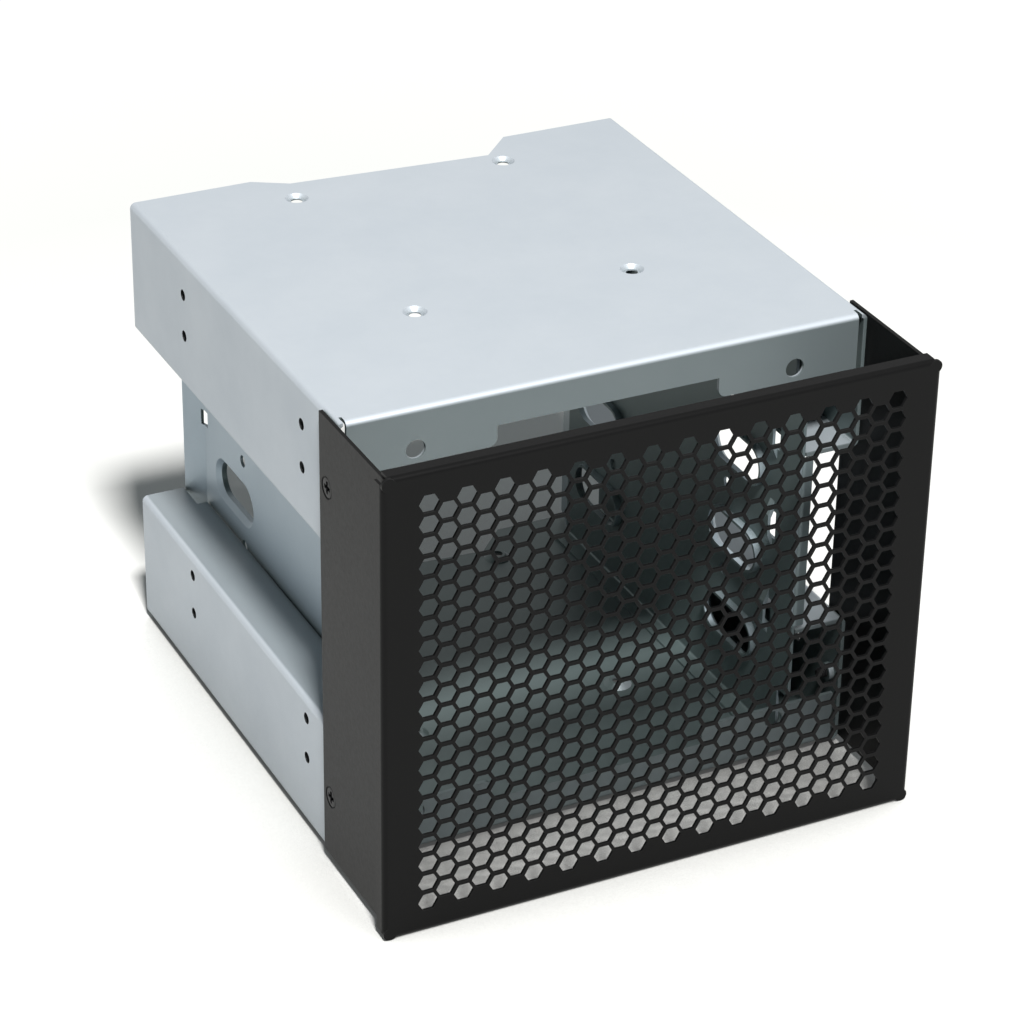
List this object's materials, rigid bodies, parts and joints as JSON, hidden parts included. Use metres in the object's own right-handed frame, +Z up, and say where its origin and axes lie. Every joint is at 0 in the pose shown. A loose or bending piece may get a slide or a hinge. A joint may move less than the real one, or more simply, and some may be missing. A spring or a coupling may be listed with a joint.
{
  "type": "drive cage",
  "caption": "Folded steel drive cage for adjoining 5.25 inch bays: pressed side walls carry the drives, and a black honeycomb nose leaves room for a cooling fan.",
  "frame": {"origin": "centre of the bounding box's underside, on the plane of the nose's lower edge; the cage's floor is 1.5 mm above it", "axes": "+Y from the perforated nose to the open rear, +Z up, +X to the right as seen from the nose"},
  "size_m": [0.151, 0.171, 0.13],
  "materials": {
    "galvanised_steel": "galvanised sheet, satin",
    "black_coated_steel": "satin black powder coat",
    "black_screws": "black oxide"
  },
  "bodies": {
    "root": {"upper_shell": "galvanised_steel", "lower_shell": "galvanised_steel", "drive_wall_left": "galvanised_steel", "drive_wall_right": "galvanised_steel", "perforated_front": "black_coated_steel", "side_bracket_left": "black_coated_steel", "side_bracket_right": "black_coated_steel", "nose_screws": "black_screws"}
  },
  "joints": []
}
